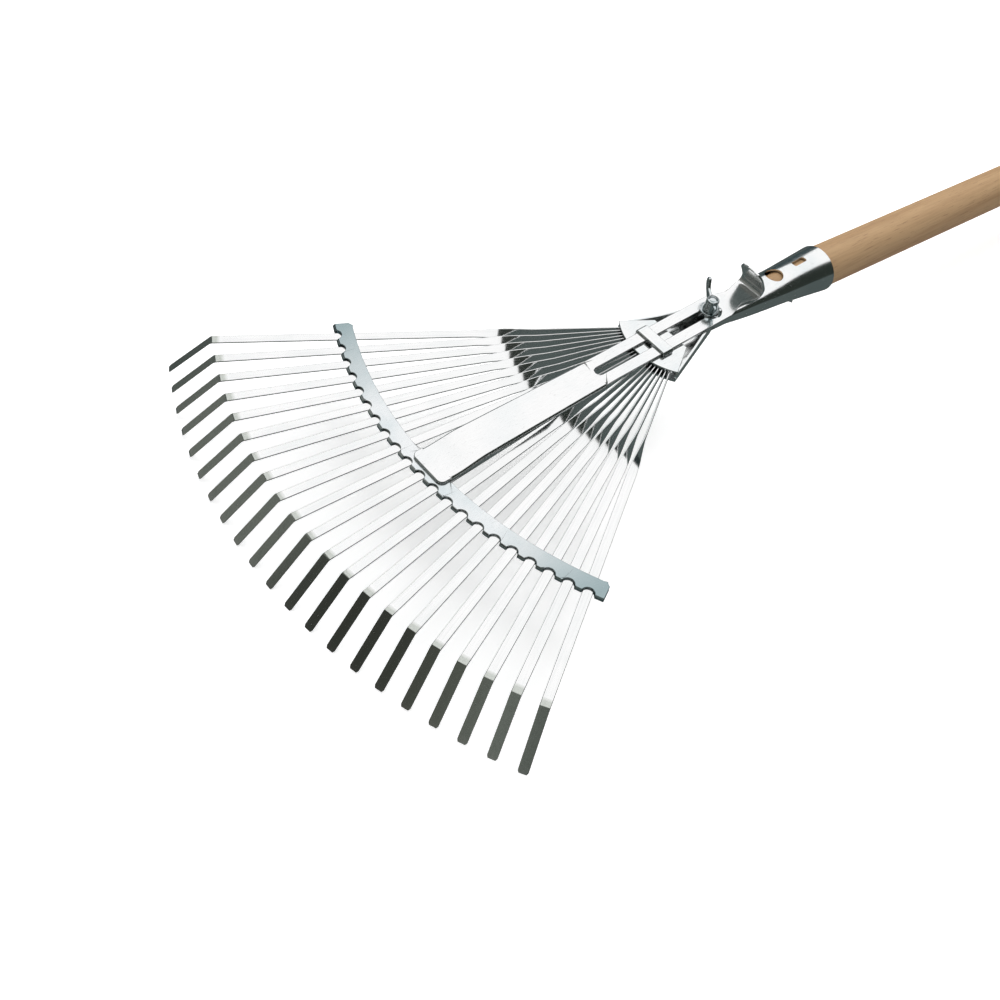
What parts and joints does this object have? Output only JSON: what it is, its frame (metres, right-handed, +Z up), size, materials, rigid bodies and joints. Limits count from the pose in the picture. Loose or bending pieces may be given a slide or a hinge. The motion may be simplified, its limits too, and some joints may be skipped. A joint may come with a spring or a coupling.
{
  "type": "leaf rake",
  "caption": "Adjustable leaf rake: flat spring tines fan from a socketed holder through a notched crossbar on a sliding strap with a wing nut, on a round wooden handle.",
  "frame": {"origin": "on the ground, below the middle of the rake's overall length and width", "axes": "+X along the rake towards the free end of the handle, +Y across the fan, +Z up; the rake lies on its teeth and the end of its handle"},
  "size_m": [1.6874, 0.3486, 0.0842],
  "materials": {
    "handle_wood": "plain sanded hardwood, light lengthwise grain",
    "holder_zinc": "bright zinc-plated pressed sheet",
    "strap_zinc": "bright zinc-plated sheet",
    "crossbar_zinc": "zinc-plated folded sheet, bluish passivation",
    "tine_steel": "bright zinc-plated spring steel strip",
    "fastener_zinc": "bright zinc-plated"
  },
  "bodies": {
    "holder": {"handle": "handle_wood", "socket_base": "holder_zinc", "cover_plate": "holder_zinc", "strap_keeper": "holder_zinc", "clamp_bolt": "fastener_zinc", "clamp_washer": "fastener_zinc", "tine_11": "tine_steel"},
    "strap": {"adjusting_strap": "strap_zinc", "crossbar": "crossbar_zinc"},
    "wing_nut": {"wing_nut": "fastener_zinc"},
    "tine_01": {"tine_01": "tine_steel"},
    "tine_02": {"tine_02": "tine_steel"},
    "tine_03": {"tine_03": "tine_steel"},
    "tine_04": {"tine_04": "tine_steel"},
    "tine_05": {"tine_05": "tine_steel"},
    "tine_06": {"tine_06": "tine_steel"},
    "tine_07": {"tine_07": "tine_steel"},
    "tine_08": {"tine_08": "tine_steel"},
    "tine_09": {"tine_09": "tine_steel"},
    "tine_10": {"tine_10": "tine_steel"},
    "tine_12": {"tine_12": "tine_steel"},
    "tine_13": {"tine_13": "tine_steel"},
    "tine_14": {"tine_14": "tine_steel"},
    "tine_15": {"tine_15": "tine_steel"},
    "tine_16": {"tine_16": "tine_steel"},
    "tine_17": {"tine_17": "tine_steel"},
    "tine_18": {"tine_18": "tine_steel"},
    "tine_19": {"tine_19": "tine_steel"},
    "tine_20": {"tine_20": "tine_steel"},
    "tine_21": {"tine_21": "tine_steel"}
  },
  "joints": [
    {"name": "strap_slide", "type": "slide", "parent": "holder", "child": "strap", "axis": [0.9962, 0, 0.0871], "range_m": [0, 0.034]},
    {"name": "wing_nut_turn", "type": "hinge", "parent": "holder", "child": "wing_nut", "pos_m": [-0.50364, 0, 0.05498], "axis": [-0.0871, 0, 0.9962], "range_deg": [0, 720]},
    {"name": "tine_01_swing", "type": "hinge", "parent": "holder", "child": "tine_01", "pos_m": [-0.55643, -0.01986, 0.05037], "axis": [-0.0871, 0, 0.9962], "range_deg": [0, 6.34]},
    {"name": "tine_02_swing", "type": "hinge", "parent": "holder", "child": "tine_02", "pos_m": [-0.55219, -0.01524, 0.05074], "axis": [-0.0871, 0, 0.9962], "range_deg": [0, 5.65]},
    {"name": "tine_03_swing", "type": "hinge", "parent": "holder", "child": "tine_03", "pos_m": [-0.55838, -0.01626, 0.0502], "axis": [-0.0871, 0, 0.9962], "range_deg": [0, 5.34]},
    {"name": "tine_04_swing", "type": "hinge", "parent": "holder", "child": "tine_04", "pos_m": [-0.55368, -0.01209, 0.05061], "axis": [-0.0871, 0, 0.9962], "range_deg": [0, 4.6]},
    {"name": "tine_05_swing", "type": "hinge", "parent": "holder", "child": "tine_05", "pos_m": [-0.55994, -0.01242, 0.05006], "axis": [-0.0871, 0, 0.9962], "range_deg": [0, 4.18]},
    {"name": "tine_06_swing", "type": "hinge", "parent": "holder", "child": "tine_06", "pos_m": [-0.55482, -0.00877, 0.05051], "axis": [-0.0871, 0, 0.9962], "range_deg": [0, 3.41]},
    {"name": "tine_07_swing", "type": "hinge", "parent": "holder", "child": "tine_07", "pos_m": [-0.56108, -0.00839, 0.04996], "axis": [-0.0871, 0, 0.9962], "range_deg": [0, 2.88]},
    {"name": "tine_08_swing", "type": "hinge", "parent": "holder", "child": "tine_08", "pos_m": [-0.5556, -0.00532, 0.05044], "axis": [-0.0871, 0, 0.9962], "range_deg": [0, 2.1]},
    {"name": "tine_09_swing", "type": "hinge", "parent": "holder", "child": "tine_09", "pos_m": [-0.56178, -0.00423, 0.0499], "axis": [-0.0871, 0, 0.9962], "range_deg": [0, 1.47]},
    {"name": "tine_10_swing", "type": "hinge", "parent": "holder", "child": "tine_10", "pos_m": [-0.55599, -0.00178, 0.0504], "axis": [-0.0871, 0, 0.9962], "range_deg": [0, 0.72]},
    {"name": "tine_12_swing", "type": "hinge", "parent": "holder", "child": "tine_12", "pos_m": [-0.55599, 0.00178, 0.0504], "axis": [-0.0871, 0, 0.9962], "range_deg": [-0.72, 0]},
    {"name": "tine_13_swing", "type": "hinge", "parent": "holder", "child": "tine_13", "pos_m": [-0.56178, 0.00423, 0.0499], "axis": [-0.0871, 0, 0.9962], "range_deg": [-1.47, 0]},
    {"name": "tine_14_swing", "type": "hinge", "parent": "holder", "child": "tine_14", "pos_m": [-0.5556, 0.00532, 0.05044], "axis": [-0.0871, 0, 0.9962], "range_deg": [-2.1, 0]},
    {"name": "tine_15_swing", "type": "hinge", "parent": "holder", "child": "tine_15", "pos_m": [-0.56108, 0.00839, 0.04996], "axis": [-0.0871, 0, 0.9962], "range_deg": [-2.88, 0]},
    {"name": "tine_16_swing", "type": "hinge", "parent": "holder", "child": "tine_16", "pos_m": [-0.55482, 0.00877, 0.05051], "axis": [-0.0871, 0, 0.9962], "range_deg": [-3.41, 0]},
    {"name": "tine_17_swing", "type": "hinge", "parent": "holder", "child": "tine_17", "pos_m": [-0.55994, 0.01242, 0.05006], "axis": [-0.0871, 0, 0.9962], "range_deg": [-4.18, 0]},
    {"name": "tine_18_swing", "type": "hinge", "parent": "holder", "child": "tine_18", "pos_m": [-0.55368, 0.01209, 0.05061], "axis": [-0.0871, 0, 0.9962], "range_deg": [-4.6, 0]},
    {"name": "tine_19_swing", "type": "hinge", "parent": "holder", "child": "tine_19", "pos_m": [-0.55838, 0.01626, 0.0502], "axis": [-0.0871, 0, 0.9962], "range_deg": [-5.34, 0]},
    {"name": "tine_20_swing", "type": "hinge", "parent": "holder", "child": "tine_20", "pos_m": [-0.55219, 0.01524, 0.05074], "axis": [-0.0871, 0, 0.9962], "range_deg": [-5.65, 0]},
    {"name": "tine_21_swing", "type": "hinge", "parent": "holder", "child": "tine_21", "pos_m": [-0.55643, 0.01986, 0.05037], "axis": [-0.0871, 0, 0.9962], "range_deg": [-6.34, 0]}
  ],
  "couplings": [
    {"joint": "tine_01_swing", "follows": "strap_slide", "rad_per_m": 3.2457},
    {"joint": "tine_02_swing", "follows": "strap_slide", "rad_per_m": 2.8918},
    {"joint": "tine_03_swing", "follows": "strap_slide", "rad_per_m": 2.7338},
    {"joint": "tine_04_swing", "follows": "strap_slide", "rad_per_m": 2.3544},
    {"joint": "tine_05_swing", "follows": "strap_slide", "rad_per_m": 2.1375},
    {"joint": "tine_06_swing", "follows": "strap_slide", "rad_per_m": 1.7424},
    {"joint": "tine_07_swing", "follows": "strap_slide", "rad_per_m": 1.4693},
    {"joint": "tine_08_swing", "follows": "strap_slide", "rad_per_m": 1.071},
    {"joint": "tine_09_swing", "follows": "strap_slide", "rad_per_m": 0.74858},
    {"joint": "tine_10_swing", "follows": "strap_slide", "rad_per_m": 0.36143},
    {"joint": "tine_12_swing", "follows": "strap_slide", "rad_per_m": -0.36143},
    {"joint": "tine_13_swing", "follows": "strap_slide", "rad_per_m": -0.74858},
    {"joint": "tine_14_swing", "follows": "strap_slide", "rad_per_m": -1.071},
    {"joint": "tine_15_swing", "follows": "strap_slide", "rad_per_m": -1.4693},
    {"joint": "tine_16_swing", "follows": "strap_slide", "rad_per_m": -1.7424},
    {"joint": "tine_17_swing", "follows": "strap_slide", "rad_per_m": -2.1375},
    {"joint": "tine_18_swing", "follows": "strap_slide", "rad_per_m": -2.3544},
    {"joint": "tine_19_swing", "follows": "strap_slide", "rad_per_m": -2.7338},
    {"joint": "tine_20_swing", "follows": "strap_slide", "rad_per_m": -2.8918},
    {"joint": "tine_21_swing", "follows": "strap_slide", "rad_per_m": -3.2457}
  ]
}
